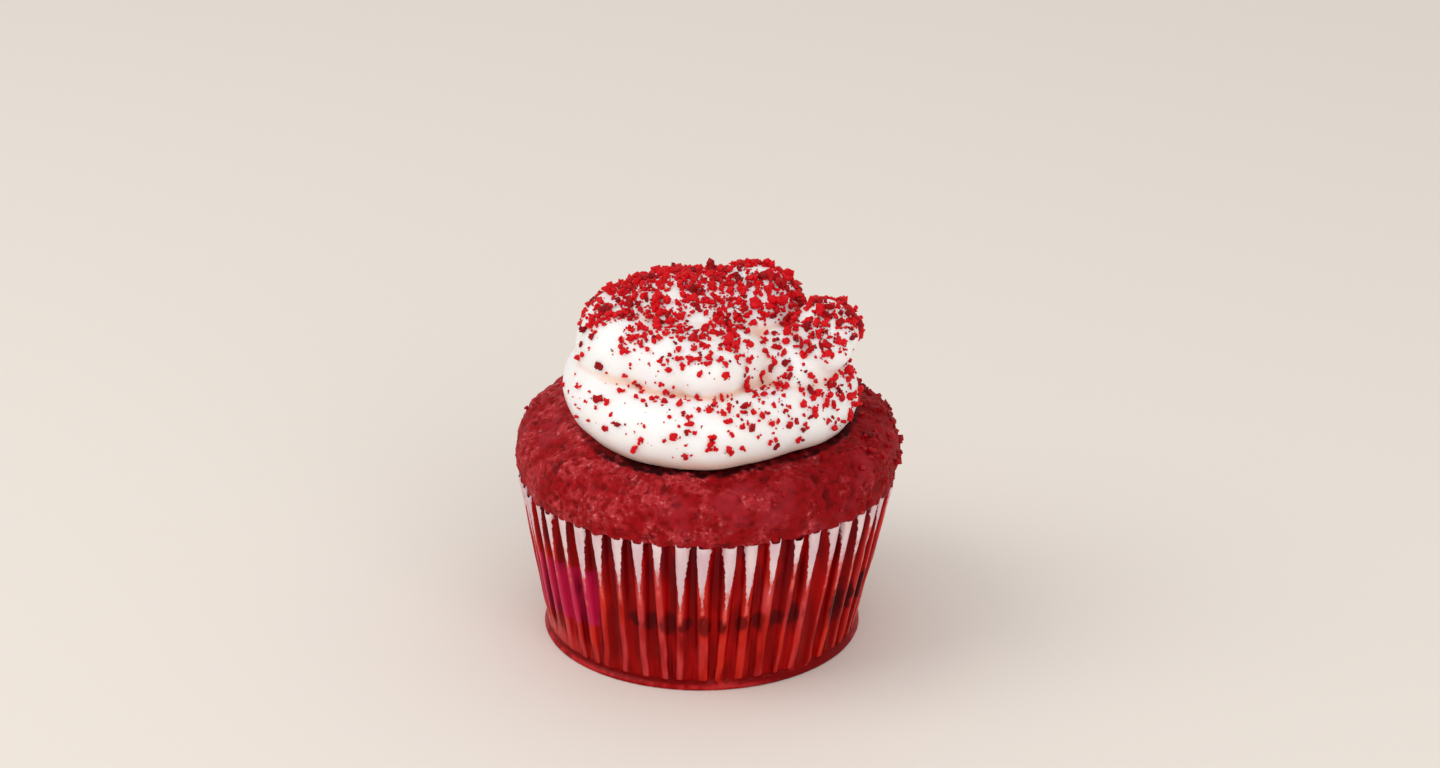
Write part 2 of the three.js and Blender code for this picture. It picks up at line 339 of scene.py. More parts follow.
def case_point(column, z):
    """Where the paper is at a column round the case and a height, in millimetres."""
    pleat = pleats[int(column // POINTS_PER_PLEAT) % PLEATS]
    rise = clamp01((z - PLEAT_FOOT) / (CASE_HEIGHT - PLEAT_FOOT))
    share = (column % POINTS_PER_PLEAT) / POINTS_PER_PLEAT - 0.5
    waver = noise.noise(Vector((pleat.number * 3.7, z / 5, 0))) * (1 - 0.8 * smooth01(rise / 0.7))
    flat = noise.noise(Vector((pleat.number / 3.3, z / 8, 5)))
    open_share = mix(pleat.foot, 1, smooth01(rise / 0.55)) * mix(0.35, 1, smooth01(0.7 + 1.6 * flat + rise))
    valley = mix(BASE_VALLEY, RIM_VALLEY, rise)
    ridge = mix(BASE_RIDGE, RIM_RIDGE, rise) + (pleat.stand + 0.3 * waver) * rise
    bulge = flute(share / mix(pleat.foot_width, pleat.width, smooth01(rise / 0.7)), rise)
    radius = mix(valley, ridge, bulge * open_share + 0.65 * (1 - open_share))
    curl = pleat.foot_shift * (1 - smooth01(rise / 0.14))
    shift = mix(pleat.foot_shift, pleat.shift, smooth01(rise / 0.8)) + 0.1 * waver + curl
    angle = (pleat.number + share + shift * bulge) / PLEATS * 2 * math.pi
    smoothed = flatness(angle) * (1 - smooth01((z - PLEAT_FOOT) / 4))
    radius = mix(radius, BASE_RIDGE - 0.1, 0.9 * smoothed)
    corner = math.exp(-(((abs(share) - 0.28) / 0.06) ** 2))
    top = (pleat.tip * bulge + 0.75 * corner) * smooth01((rise - 0.9) / 0.1)
    return Vector((radius * math.cos(angle) + lean(z), radius * math.sin(angle), z + top))


# %% Extrude the case from its base
def make_case():
    around = PLEATS * POINTS_PER_PLEAT
    bm = bmesh.new()
    column_of = bm.verts.layers.float.new("column")
    height_of = bm.verts.layers.float.new("height")
    fold_of = bm.verts.layers.float.new("fold")
    flat_of = bm.verts.layers.float.new("flat")
    bmesh.ops.create_circle(bm, cap_ends=True, cap_tris=True, segments=around, radius=LIP_RADIUS - 0.8)
    edges = [edge for edge in bm.edges if edge.is_boundary]
    for vert in bm.verts:
        turned = math.atan2(vert.co.y, vert.co.x) / (2 * math.pi) * around + POINTS_PER_PLEAT / 2
        vert[column_of] = round(turned) % around
        vert.co.x += lean(0)
    rows = [lambda column, r=r, z=z: ring_point(column, r, z) for r, z in LIP_ROWS]
    for i in range(WALL_ROWS + 1):
        z = mix(PLEAT_FOOT, CASE_HEIGHT, i / WALL_ROWS)
        rows.append(lambda column, z=z: case_point(column, z))
    for row in rows:
        grown = bmesh.ops.extrude_edge_only(bm, edges=edges)["geom"]
        edges = [e for e in grown if isinstance(e, bmesh.types.BMEdge) and e.is_boundary]
        for vert in {v for e in edges for v in e.verts}:
            vert.co = row(vert[column_of])
            vert[height_of] = vert.co.z / CASE_HEIGHT
            turned = (vert[column_of] / POINTS_PER_PLEAT - 0.5) / PLEATS * 2 * math.pi
            vert[fold_of] = groove(turned)
            vert[flat_of] = flatness(turned)
    bmesh.ops.recalc_face_normals(bm, faces=bm.faces)
    write_pleat_map(bm, column_of, height_of)
    case = finished(bm, "pleated_case")
    thicken(case, PAPER * MM)
    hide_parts("paper_case")
    case.data.shade_smooth()
    return case


def ring_point(column, radius, z):
    """A point of the lip, with the fold above it pressed in."""
    angle = (column / POINTS_PER_PLEAT - 0.5) / PLEATS * 2 * math.pi
    radius -= 0.6 * groove(angle) * smooth01((z - 0.5) / 0.6)
    return Vector((radius * math.cos(angle) + lean(z), radius * math.sin(angle), z))


def write_pleat_map(bm, column_of, height_of):
    """A map for the finish: across it counts pleats round the case, up it runs from base to rim."""
    pleat_map = bm.loops.layers.uv.new("pleats")
    around = PLEATS * POINTS_PER_PLEAT
    for face in bm.faces:
        wraps = max(v[column_of] for v in face.verts) - min(v[column_of] for v in face.verts) > around / 2
        for loop in face.loops:
            column = loop.vert[column_of]
            if wraps and column < around / 2:
                column += around
            loop[pleat_map].uv = (column / POINTS_PER_PLEAT, loop.vert[height_of])


def thicken(piece, thickness):
    """Gives a skin its thickness inwards and applies it, so that the piece carries no modifier."""
    modifier = piece.modifiers.new("paper", "SOLIDIFY")
    modifier.thickness = thickness
    modifier.offset = -1
    apply_modifiers(piece)


def apply_modifiers(piece):
    graph = bpy.context.evaluated_depsgraph_get()
    mesh = bpy.data.meshes.new_from_object(piece.evaluated_get(graph), depsgraph=graph)
    old = piece.data
    piece.modifiers.clear()
    piece.data = mesh
    bpy.data.meshes.remove(old)
    mesh.name = piece.name


case = make_case()

# %% [markdown]
# The frosting was piped with a round nozzle: a full ring on the cake, a second turn on that ring,
# a tail that ends at the right, and a mound in the middle with a second, steeper one to its
# right. A lobe sags over the front, and a saddle and a neck join the tail to the mounds. Each
# rope is a circle spun round the axis and then pulled to its real path. The loose shapes overlap,
# so a voxel remesh melts them into one skin, and a few rounds of smoothing soften the creases the
# way cream does.

# %% Sizes of the swirl
ROPE_SIDES = 36
FROSTING_VOXEL = 0.42
MOUNDS = {
    "middle": (Vector((-2.8, 4.4, 59.4)), Vector((18.4, 15, 10.4))),
    "front lobe": (Vector((0.2, -12.6, 58.4)), Vector((7.4, 7.4, 5.8))),
    "saddle": (Vector((14.4, -5.5, 56.2)), Vector((9.5, 9, 7.2))),
    "neck": (Vector((12.2, 2.0, 57.4)), Vector((8.5, 8.5, 7))),
    "right crown": (Vector((7.9, 6.0, 60.4)), Vector((10.4, 12, 10.4))),
}


class Rope:
    """One stroke of the nozzle. Angles are in degrees from +X, anticlockwise seen from above."""

    def __init__(
        self, start, end, radius, height, wide, tall, middle=(0, 0), keep=1.0,
        swell=None, push=None, lift=None,
    ):
        self.start = math.radians(start)
        self.end = math.radians(end)
        self.radius = radius
        self.height = height
        self.wide = wide
        self.tall = tall
        self.middle = Vector((*middle, 0))
        self.keep = keep
        self.swell = swell or (lambda angle: 0)
        self.push = push or (lambda angle: 0)
        self.lift = lift or (lambda angle: 0)
        self.closed = abs(end - start) == 360

    def size_at(self, along):
        """Full size along the stroke, rounding off to nothing over the last share at each end."""
        endward = abs(2 * along - 1)
        if self.closed or endward <= self.keep:
            return 1
        return math.sqrt(max(0.0004, 1 - ((endward - self.keep) / (1 - self.keep)) ** 2))


ROPES = [
    Rope(
        90, 450, (20.5, 20.5), (47.8, 47.8), 6.9, 6.7, push=ring_push, lift=ring_lift,
        swell=lambda angle: 0.15 - 0.3 * math.sin(2 * angle),
    ),
    Rope(
        -30, -330, (13.4, 14.4), (57.6, 58.2), 8.1, 7.4, middle=(-3.2, 2.4), keep=0.8,
        swell=lambda angle: 0.35 * math.cos(7 * angle + 0.5),
        push=lambda angle: -2.6 * towards(angle, -86, 30) - 1.2 * towards(angle, -121, 10),
    ),
    Rope(
        120, -34, (15, 23.2), (53.5, 60.6), 6.3, 6.1, keep=0.74,
        lift=lambda angle: 2.8 * towards(angle, -10, 16) - 2.6 * towards(angle, 32, 16),
    ),
]


# %% Spin each rope and pull it to its path
def add_rope(bm, rope):
    steps = max(48, round(abs(rope.end - rope.start) * 24))
    made = bmesh.ops.create_circle(bm, segments=ROPE_SIDES, radius=1)
    ring = made["verts"]
    standing = Matrix.Translation((10, 0, 0)) @ Matrix.Rotation(math.pi / 2, 4, "X")
    bmesh.ops.transform(bm, matrix=standing, verts=ring)
    loop = list({edge for vert in ring for edge in vert.link_edges})
    before = set(bm.verts) - set(ring)
    bmesh.ops.spin(
        bm, geom=ring + loop, cent=(0, 0, 0), axis=(0, 0, 1),
        angle=rope.end - rope.start, steps=steps, use_merge=rope.closed,
    )
    stroke = [vert for vert in bm.verts if vert not in before]
    for vert in stroke:
        turned = math.atan2(vert.co.y, vert.co.x)
        if rope.end > rope.start:
            along = (turned % (2 * math.pi)) / (rope.end - rope.start)
        else:
            along = ((-turned) % (2 * math.pi)) / (rope.start - rope.end)
        along = 0 if along > 1.001 else clamp01(along)
        angle = mix(rope.start, rope.end, along)
        size = rope.size_at(along)
        swell = rope.swell(angle)
        out = mix(*rope.radius, along) + rope.push(angle)
        out += (rope.wide + swell) * size * (vert.co.xy.length - 10)
        up = mix(*rope.height, along) + rope.lift(angle)
        up += (rope.tall + swell / 2) * size * vert.co.z
        vert.co = SWIRL_CENTRE + rope.middle + Vector((out * math.cos(angle), out * math.sin(angle), up))
    ends = [edge for vert in stroke for edge in vert.link_edges if edge.is_boundary]
    bmesh.ops.holes_fill(bm, edges=list(set(ends)), sides=0)


def add_mound(bm, middle, size):
    ball = bmesh.ops.create_uvsphere(bm, u_segments=48, v_segments=24, radius=1)["verts"]
    bmesh.ops.scale(bm, vec=size, verts=ball)
    bmesh.ops.translate(bm, vec=SWIRL_CENTRE + middle, verts=ball)


def add_core(bm):
    """A plug that fills the hidden middle, so that no hollow stays under the mound."""
    place = Matrix.Translation(SWIRL_CENTRE + Vector((0, 0, 50.5)))
    bmesh.ops.create_cone(
        bm, cap_ends=True, segments=48, radius1=19, radius2=13, depth=15, matrix=place
    )


# %% [markdown]
# The frosting rests on the cake, so whatever would lie under the cake's top is lifted to just
# below it. Creases look warmer and a little darker than the lit bulges, because light bounces
# about in them. Smoothing a copy shows where they are: it fills hollows, and how far it moved
# each vertex outwards is kept as the crease's depth.

# %% Melt the ropes together
SEAT_DEPTH = 0.2
SOFTEN_ROUNDS = 16
CREASE_ROUNDS = 60


def cake_top(x, y):
    """The height of the cake's smooth top at a place, in millimetres."""
    radius = math.hypot(x, y)
    share = clamp01((radius - CROWN_RADIUS) / (BULGE_RADIUS - CROWN_RADIUS))
    up = (1 - share**SHOULDER_POWER) ** (1 / SHOULDER_POWER)
    height = mix(BULGE_HEIGHT, CROWN_HEIGHT, up) + 0.4 * clamp01(1 - radius / CROWN_RADIUS)
    return height + up * CROWN_TILT * y


def remeshed(bm, voxel):
    """A new bmesh with the union of the closed shapes in bm as one even skin."""
    mesh = bpy.data.meshes.new("ropes")
    bm.to_mesh(mesh)
    bm.free()
    holder = bpy.data.objects.new("ropes", mesh)
    bpy.context.scene.collection.objects.link(holder)
    modifier = holder.modifiers.new("melt", "REMESH")
    modifier.mode = "VOXEL"
    modifier.voxel_size = voxel
    apply_modifiers(holder)
    melted = bmesh.new()
    melted.from_mesh(holder.data)
    bpy.data.objects.remove(holder)
    return melted


def crease_depths(bm):
    """How far a strong smoothing moves each vertex outwards, in millimetres."""
    soft = bm.copy()
    for _ in range(CREASE_ROUNDS):
        bmesh.ops.smooth_vert(soft, verts=soft.verts, factor=0.8, use_axis_x=True, use_axis_y=True, use_axis_z=True)
    bm.normal_update()
    return [(b.co - a.co).dot(a.normal) for a, b in zip(bm.verts, soft.verts)]


def make_frosting():
    bm = bmesh.new()
    for rope in ROPES:
        add_rope(bm, rope)
    for middle, size in MOUNDS.values():
        add_mound(bm, middle, size)
    add_core(bm)
    bmesh.ops.recalc_face_normals(bm, faces=bm.faces)
    bm = remeshed(bm, FROSTING_VOXEL)
    for vert in bm.verts:
        ripple = noise.noise(vert.co / 7) * 0.35 + noise.noise(vert.co / 2.4) * 0.1
        vert.co += vert.normal * ripple
    for _ in range(SOFTEN_ROUNDS):
        bmesh.ops.smooth_vert(bm, verts=bm.verts, factor=0.5, use_axis_x=True, use_axis_y=True, use_axis_z=True)
    crease_of = bm.verts.layers.float.new("crease")
    for vert, depth in zip(bm.verts, crease_depths(bm)):
        vert[crease_of] = clamp01(depth / 0.9)
    for vert in bm.verts:
        vert.co.z = max(vert.co.z, cake_top(vert.co.x, vert.co.y) - SEAT_DEPTH)
    frosting = finished(bm, "frosting_swirl")
    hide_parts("frosting")
    frosting.data.shade_smooth()
    return frosting


frosting = make_frosting()

# %% [markdown]
# The crumbs are rubbed-off cake. Each is a small angular clump, so a few kinds are made from
# dented icospheres stuck together, and then strewn as copies that differ in turn, stretch and
# size. They lie thick on top, gather in the creases and thin out down the sides, so a density
# decides how likely each face of the frosting is to carry one. All draws are seeded.

# %% Kinds of crumb
def crumb_kind(seed, chunks):
    """One angular crumb about a millimetre across, as a mesh."""
    draw = random.Random(seed)
    bm = bmesh.new()
    for _ in range(chunks):
        place = Vector([draw.uniform(-0.28, 0.28) for _ in range(3)])
        bmesh.ops.create_icosphere(
            bm, subdivisions=1, radius=draw.uniform(0.22, 0.42), matrix=Matrix.Translation(place)
        )
    for vert in bm.verts:
        vert.co *= draw.uniform(0.72, 1.3)
    mesh = bpy.data.meshes.new("crumb_kind")
    bm.to_mesh(mesh)
    bm.free()
    return mesh


LARGE_KINDS = [crumb_kind(seed, 3) for seed in range(12)]
SMALL_KINDS = [crumb_kind(20 + seed, 2) for seed in range(12)]
FINE_KINDS = [crumb_kind(40 + seed, 1) for seed in range(6)]


# %% Strew crumbs over a piece
def places_on(piece, count, density, seed, spacing=0.0):
    """Points and normals on a piece, in millimetres, likelier where the density is high."""
    draw = random.Random(seed)
    faces = piece.data.polygons
    weights = [face.area * density(face.center / MM, face.normal) for face in faces]
    found = []
    for pick in draw.choices(range(len(faces)), weights, k=count * 3):
        corners = [piece.data.vertices[i].co for i in faces[pick].vertices]
        shares = [draw.random() for _ in corners]
        point = sum((c * s for c, s in zip(corners, shares)), Vector()) / sum(shares) / MM
        if spacing and any((point - other).length < spacing for other, _ in found):
            continue
        found.append((point, faces[pick].normal.copy()))
        if len(found) == count:
            break
    return found


def strewn(name, kinds, places, largest, smallest, seed, sink=0.12):
    """One piece with a crumb at each place, from the largest size to the smallest."""
    draw = random.Random(seed)
    bm = bmesh.new()
    tones = []
    for i, (point, normal) in enumerate(places):
        size = mix(largest, smallest, (i / len(places)) ** 0.6) * draw.uniform(0.85, 1.15)
        stretch = Vector([draw.uniform(0.7, 1.25) for _ in range(3)]) * size
        turn = Euler([draw.uniform(0, 6.28) for _ in range(3)]).to_matrix().to_4x4()
        seat = Matrix.Translation(point + normal * size * sink)
        crumb = draw.choice(kinds).copy()
        crumb.transform(seat @ Matrix.Diagonal((*stretch, 1)) @ turn)
        bm.from_mesh(crumb)
        tones += [draw.random()] * len(crumb.vertices)
        bpy.data.meshes.remove(crumb)
    piece = finished(bm, name)
    tone = piece.data.attributes.new("tone", "FLOAT", "POINT")
    tone.data.foreach_set("value", tones)
    return piece


# %% Crumbs on the frosting
def frosting_density(point, normal):
    """Thick on top, in drifts, and thinner down the sides, where more fell to the front right."""
    high = smooth01((point.z - 59.5) / 8)
    lies = clamp01(normal.z + 0.44)
    drift = clamp01(0.65 + 1.4 * noise.noise(point / 3.6))
    side = clamp01(0.6 + 0.02 * point.x)
    clear_of_cake = clamp01((point.z - cake_top(point.x, point.y) - 1.2) / 1.5)
    return lies * drift * clear_of_cake * mix(0.28 * side, 1, high)


places = places_on(frosting, 800, frosting_density, seed=3, spacing=1.15)
large_crumbs = strewn("crumbs_large", LARGE_KINDS, places, 2.5, 1.2, seed=4)
places = places_on(frosting, 1500, frosting_density, seed=5, spacing=0.6)
small_crumbs = strewn("crumbs_small", SMALL_KINDS, places, 1.2, 0.6, seed=6)
places = places_on(frosting, 1300, frosting_density, seed=7)
fine_crumbs = strewn("crumbs_fine", FINE_KINDS, places, 0.75, 0.3, seed=8)


# %% Crumbs on the crust
def crust_density(point, normal):
    """Loose crumbs on the muffin top, more of them to the back and right."""
    if point.z < CASE_HEIGHT + 1 or dent(point)[1] > 0 or point.xy.length < 24:
        return 0
    return clamp01(0.3 + 0.02 * (point.x + point.y) + noise.noise(point / 5))


places = places_on(cake, 500, crust_density, seed=9)
crust_crumbs = strewn("crust_crumbs", SMALL_KINDS, places, 1.9, 0.6, seed=10, sink=0.05)

# %% [markdown]
# Every finish is built from nodes. Two small helpers keep the node code short: one adds a node
# and fills or links its sockets, one does arithmetic. Colours are named as they look on screen
# and turned into Blender's linear values.

# %% Node helpers
def srgb(red, green, blue):
    channels = []
    for value in (red, green, blue):
        share = value / 255
        channels.append(share / 12.92 if share <= 0.04045 else ((share + 0.055) / 1.055) ** 2.4)
    return (*channels, 1)


def add_node(tree, kind, inputs=None, **options):
    """Adds a node, sets its options, and fills each named or numbered socket or links it."""
    node = tree.nodes.new(kind)
    for name, value in options.items():
        setattr(node, name, value)
    for socket, value in (inputs or {}).items():
        if isinstance(value, bpy.types.NodeSocket):
            tree.links.new(value, node.inputs[socket])
        else:
            node.inputs[socket].default_value = value
    return node


def sums(tree, operation, *values, clamp=False):
    inputs = dict(enumerate(values))
    return add_node(tree, "ShaderNodeMath", inputs, operation=operation, use_clamp=clamp).outputs[0]


def fade(tree, value, low, high):
    """0 where the value is at low, 1 where it is at high, and smooth between them."""
    inputs = {"Value": value, "From Min": low, "From Max": high}
    node = add_node(tree, "ShaderNodeMapRange", inputs, interpolation_type="SMOOTHSTEP")
    return node.outputs["Result"]


def blended(tree, share, first, second):
    node = add_node(tree, "ShaderNodeMix", {0: share, 6: first, 7: second}, data_type="RGBA")
    return node.outputs[2]


def noise_at(tree, place, millimetres, detail=2.0):
    """Noise with features of about this size."""
    inputs = {"Vector": place, "Scale": 1 / (millimetres * MM), "Detail": detail}
    return add_node(tree, "ShaderNodeTexNoise", inputs).outputs["Fac"]


def new_finish(name):
    material = bpy.data.materials.new(name)
    material.use_nodes = True
    tree = material.node_tree
    return material, tree, tree.nodes["Principled BSDF"]


def wear(piece, material):
    piece.data.materials.clear()
    piece.data.materials.append(material)


# %% [markdown]
# Moist red cake is a deep red. Painted shade darkens the creases between its crumbs and the right
# side, away from the key light, and a painted pink sheen, in soft patches and with small painted
# glints, lies more at the left than at the right. The relief kept on the vertices drives the crease
# shade and the painted shadow under the frosting, two sizes of noise break it up, and the gloss
# changes because some crumbs are wetter than others.

# %% Finish of the cake
def cake_finish():
    material, tree, shader = new_finish("velvet crumb")
    place = add_node(tree, "ShaderNodeTexCoord").outputs["Object"]
    relief = add_node(tree, "ShaderNodeAttribute", attribute_name="relief").outputs["Fac"]
    haze = noise_at(tree, place, 4.5, detail=4)
    close = noise_at(tree, place, 1.2, detail=3)
    # Painted shade: the crust is darker in the creases between crumbs, where the relief is low.
    colour = blended(tree, fade(tree, relief, 0.0, 0.5), srgb(108, 2, 6), srgb(158, 9, 17))
    colour = blended(tree, fade(tree, close, 0.48, 0.28), colour, srgb(128, 4, 9))
    across = add_node(tree, "ShaderNodeSeparateXYZ", {0: place}).outputs["X"]
    # Painted shade: the crust darkens towards the right, away from the key light.
    right_shade = fade(tree, across, -12 * MM, 26 * MM)
    colour = blended(tree, sums(tree, "MULTIPLY_ADD", right_shade, 0.34, 0.12), colour, srgb(114, 3, 8))
    # Painted sheen: soft patches of pink haze.
    sheen_patches = fade(tree, noise_at(tree, place, 7, detail=2), 0.5, 0.68)
    colour = blended(tree, sums(tree, "MULTIPLY", sheen_patches, 0.4), colour, srgb(164, 44, 56))
    # Painted sheen: a pink haze on the crumb, stronger at the left where the key light falls.
    dry_and_sheen = sums(tree, "ADD", sums(tree, "MULTIPLY_ADD", right_shade, -0.14, 0.05), haze)
    sheen = sums(tree, "MULTIPLY", fade(tree, dry_and_sheen, 0.44, 0.66), fade(tree, close, 0.34, 0.66))
    colour = blended(tree, sheen, colour, srgb(184, 54, 60))
    # Painted highlights: small pink glints within the painted sheen.
    painted_glints = fade(tree, noise_at(tree, place, 0.7, detail=1), 0.6, 0.68)
    colour = blended(tree, sums(tree, "MULTIPLY", painted_glints, sheen), colour, srgb(206, 104, 108))
    # Painted shadow: the crust goes nearly black under the frosting's edge, where the relief is below zero.
    colour = blended(tree, fade(tree, relief, 0.0, -0.6), colour, srgb(44, 0, 3))
    tree.links.new(colour, shader.inputs["Base Color"])
    damp = noise_at(tree, place, 0.9, detail=3)
    roughness = add_node(tree, "ShaderNodeMapRange", {"Value": damp, "To Min": 0.32, "To Max": 0.8})
    tree.links.new(roughness.outputs["Result"], shader.inputs["Roughness"])
    grain = noise_at(tree, place, 0.35, detail=3)
    bump = add_node(tree, "ShaderNodeBump", {"Height": grain, "Strength": 0.35, "Distance": 0.15 * MM})
    tree.links.new(bump.outputs["Normal"], shader.inputs["Normal"])
    shader.inputs["Specular IOR Level"].default_value = 0.07
    shader.inputs["Subsurface Weight"].default_value = 0.12
    shader.inputs["Subsurface Radius"].default_value = (1.0, 0.15, 0.1)
    shader.inputs["Subsurface Scale"].default_value = 1.2 * MM
    return material


wear(cake, cake_finish())


# %% Finish of the crumbs
def crumb_finish(name, dark, light):
    """Crumbs differ in tone one by one, from dark crust to bright crumb."""
    material, tree, shader = new_finish(name)
    place = add_node(tree, "ShaderNodeTexCoord").outputs["Object"]
    tone = add_node(tree, "ShaderNodeAttribute", attribute_name="tone").outputs["Fac"]
    speckle = noise_at(tree, place, 0.6, detail=2)
    share = sums(tree, "ADD", fade(tree, tone, 0.0, 0.38), sums(tree, "SUBTRACT", speckle, 0.5), clamp=True)
    tree.links.new(blended(tree, share, dark, light), shader.inputs["Base Color"])
    shader.inputs["Roughness"].default_value = 0.5
    shader.inputs["Specular IOR Level"].default_value = 0.15
    shader.inputs["Subsurface Weight"].default_value = 0.2
    shader.inputs["Subsurface Radius"].default_value = (1.0, 0.12, 0.08)
    shader.inputs["Subsurface Scale"].default_value = 0.8 * MM
    return material


bright_crumb = crumb_finish("bright crumb", srgb(134, 3, 12), srgb(214, 9, 23))
for piece in (large_crumbs, small_crumbs):
    wear(piece, bright_crumb)
wear(fine_crumbs, crumb_finish("crumb dust", srgb(92, 6, 14), srgb(206, 16, 26)))
wear(crust_crumbs, crumb_finish("crust crumb", srgb(96, 3, 8), srgb(160, 12, 20)))


# %% [markdown]
# Cream cheese frosting is a warm white that light sinks into. Subsurface scattering gives that
# softness. Its creases get a painted creamy shade, its lowest part a painted warm pink of light
# bounced off the red cake, and a faint satin gloss lies on the bulges.

# %% Finish of the frosting
def frosting_finish():
    material, tree, shader = new_finish("cream cheese frosting")
    place = add_node(tree, "ShaderNodeTexCoord").outputs["Object"]
    crease = add_node(tree, "ShaderNodeAttribute", attribute_name="crease").outputs["Fac"]
    cloud = noise_at(tree, place, 9)
    colour = blended(tree, fade(tree, cloud, 0.35, 0.7), srgb(250, 249, 248), srgb(249, 245, 241))
    colour = blended(tree, fade(tree, crease, 0.0, 0.75), colour, srgb(239, 202, 180))
    # Painted bounce light: the lowest part of the frosting, next to the red cake, is tinted warm pink.
    height = add_node(tree, "ShaderNodeSeparateXYZ", {0: place}).outputs["Z"]
    colour = blended(tree, fade(tree, height, 47 * MM, 43.5 * MM), colour, srgb(246, 210, 190))
    tree.links.new(colour, shader.inputs["Base Color"])
    ripple = noise_at(tree, place, 1.6, detail=3)
    bump = add_node(tree, "ShaderNodeBump", {"Height": ripple, "Strength": 0.25, "Distance": 0.2 * MM})
    tree.links.new(bump.outputs["Normal"], shader.inputs["Normal"])
    shader.inputs["Roughness"].default_value = 0.38
    shader.inputs["Subsurface Weight"].default_value = 0.6
    shader.inputs["Subsurface Radius"].default_value = (1.0, 0.75, 0.6)
    shader.inputs["Subsurface Scale"].default_value = 2.5 * MM
    return material


wear(frosting, frosting_finish())

# %% [markdown]
# The case is red greaseproof paper. Butter has soaked it where it touches the cake, so it shows
# the dark red crumb in the valleys. The crests are a lighter red with a painted highlight on them,
# and a painted orange highlight sits below the tip of each wedge. Near the rim the crests stand
# off dry and look pinkish white, in a wedge that runs to a point. Painted shade darkens the fold
# above the lip. The map made with the pleats says where on its pleat each spot is, and a random
# value for each pleat makes the wedges differ.

# %% Places on the paper
def pleat_place(tree):
    """Sockets for a spot of the case: its place across its pleat, its height and its pleat's draws."""
    pleat_map = add_node(tree, "ShaderNodeUVMap", uv_map="pleats").outputs["UV"]
    split = add_node(tree, "ShaderNodeSeparateXYZ", {0: pleat_map}).outputs
    share = sums(tree, "SUBTRACT", sums(tree, "FRACT", split[0]), 0.5)
    number = sums(tree, "FLOOR", split[0])
    draws = add_node(tree, "ShaderNodeTexWhiteNoise", {"W": number}, noise_dimensions="1D")
    return split[0], split[1], share, draws.outputs["Value"], draws.outputs["Color"]


def between(tree, value, low, high, soft):
    """1 between two limits and 0 outside them, with soft edges."""
    rising = fade(tree, value, low - soft, low + soft)
    falling = fade(tree, value, high + soft, high - soft)
    return sums(tree, "MULTIPLY", rising, falling)


# %% [markdown]
# The paper is printed in simple shapes: a magenta field at the left, a row of small dark spots
# across the front, and a row of taller ones at the right.

# %% Print on the paper
def spots_in_row(tree, around, height, ragged, per_pleat, middle, wide, tall):
    """A row of soft oval spots of different sizes along a height of the case."""
    cell = sums(tree, "MULTIPLY", around, per_pleat)
    draw = add_node(tree, "ShaderNodeTexWhiteNoise", {"W": sums(tree, "FLOOR", cell)}, noise_dimensions="1D")
    across = sums(tree, "DIVIDE", sums(tree, "SUBTRACT", sums(tree, "FRACT", cell), 0.5), wide)
    upward = sums(tree, "DIVIDE", sums(tree, "SUBTRACT", height, middle), tall)
    squared = sums(tree, "ADD", sums(tree, "POWER", across, 2), sums(tree, "POWER", upward, 2))
    distance = sums(tree, "ADD", sums(tree, "SQRT", squared), sums(tree, "SUBTRACT", ragged, 0.5))
    size = sums(tree, "MULTIPLY_ADD", draw.outputs["Value"], 0.5, 0.55)
    return fade(tree, sums(tree, "DIVIDE", distance, size), 1.25, 0.6)


def printed(tree, colour, around, height, mottle, streak, crest_share):
    slanted = sums(tree, "SUBTRACT", height, sums(tree, "MULTIPLY", sums(tree, "SUBTRACT", around, 28), 0.018))
    field = sums(tree, "MULTIPLY", between(tree, around, 28, 34.1, 0.12), between(tree, slanted, 0.22, 0.6, 0.015))
    magenta = blended(tree, fade(tree, streak, 0.4, 0.6), srgb(118, 0, 32), srgb(182, 10, 62))
    # The magenta is lighter on the crests, a painted highlight.
    magenta = blended(tree, crest_share, magenta, srgb(190, 32, 76))
    colour = blended(tree, sums(tree, "MULTIPLY", field, 0.9), colour, magenta)
    row = spots_in_row(tree, around, height, mottle, 1.15, 0.45, 0.5, 0.08)
    front = sums(tree, "MULTIPLY", row, between(tree, around, 35.5, 44.6, 0.1))
    tall_row = spots_in_row(tree, around, height, mottle, 0.8, 0.4, 0.45, 0.16)
    right = sums(tree, "MULTIPLY", tall_row, between(tree, around, 45.9, 50.2, 0.1))
    dark = sums(tree, "MAXIMUM", sums(tree, "MULTIPLY", front, 0.66), sums(tree, "MULTIPLY", right, 0.85))
    return blended(tree, dark, colour, srgb(44, 0, 4))


